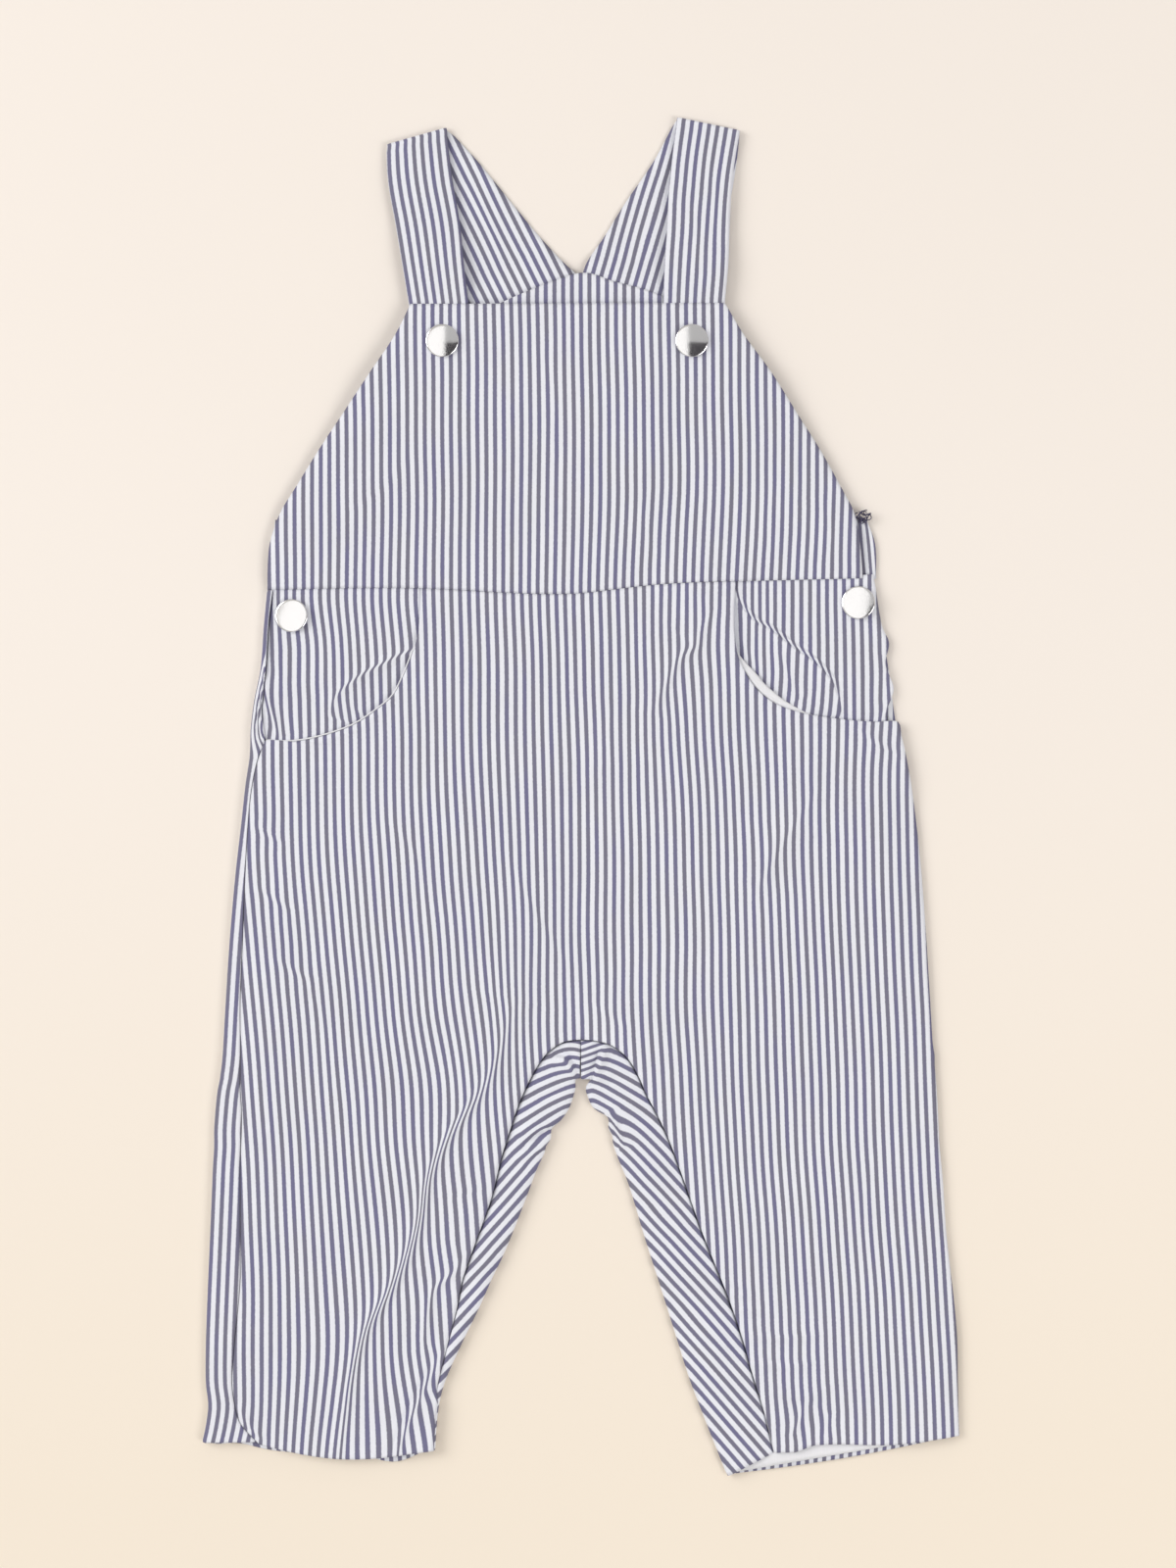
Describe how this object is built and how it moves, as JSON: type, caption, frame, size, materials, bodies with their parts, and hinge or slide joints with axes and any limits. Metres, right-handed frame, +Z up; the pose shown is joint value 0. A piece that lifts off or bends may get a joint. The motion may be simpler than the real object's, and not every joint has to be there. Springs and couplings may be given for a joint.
{
  "type": "dungarees",
  "caption": "Baby's striped cotton dungarees laid flat, front up, with a bib, folded shoulder straps, curved pocket mouths and domed metal buttons.",
  "frame": {"origin": "on the surface the garment lies on, under the middle of its outline", "axes": "+Z up off the surface, +Y towards the shoulder straps, +X to the right as seen from above"},
  "size_m": [0.321, 0.576, 0.0088],
  "materials": {
    "striped_cloth": "matte plain-woven cotton with fine blue and white stripes",
    "lining_cloth": "matte white cotton lining",
    "button_metal": "polished nickel plate"
  },
  "bodies": {
    "root": {"front_bib": "striped_cloth", "front_trousers": "striped_cloth", "back_left": "striped_cloth", "back_right": "striped_cloth", "back_bib": "striped_cloth", "back_facing": "striped_cloth", "back_waist_casing": "striped_cloth", "strap_left": "striped_cloth", "strap_right": "striped_cloth", "pocket_side_left": "striped_cloth", "pocket_side_right": "striped_cloth", "pocket_lining_left": "lining_cloth", "pocket_lining_right": "lining_cloth", "leg_lining_right": "lining_cloth", "button_bib_left": "button_metal", "button_bib_right": "button_metal", "button_side_left": "button_metal", "button_side_right": "button_metal"}
  },
  "joints": []
}
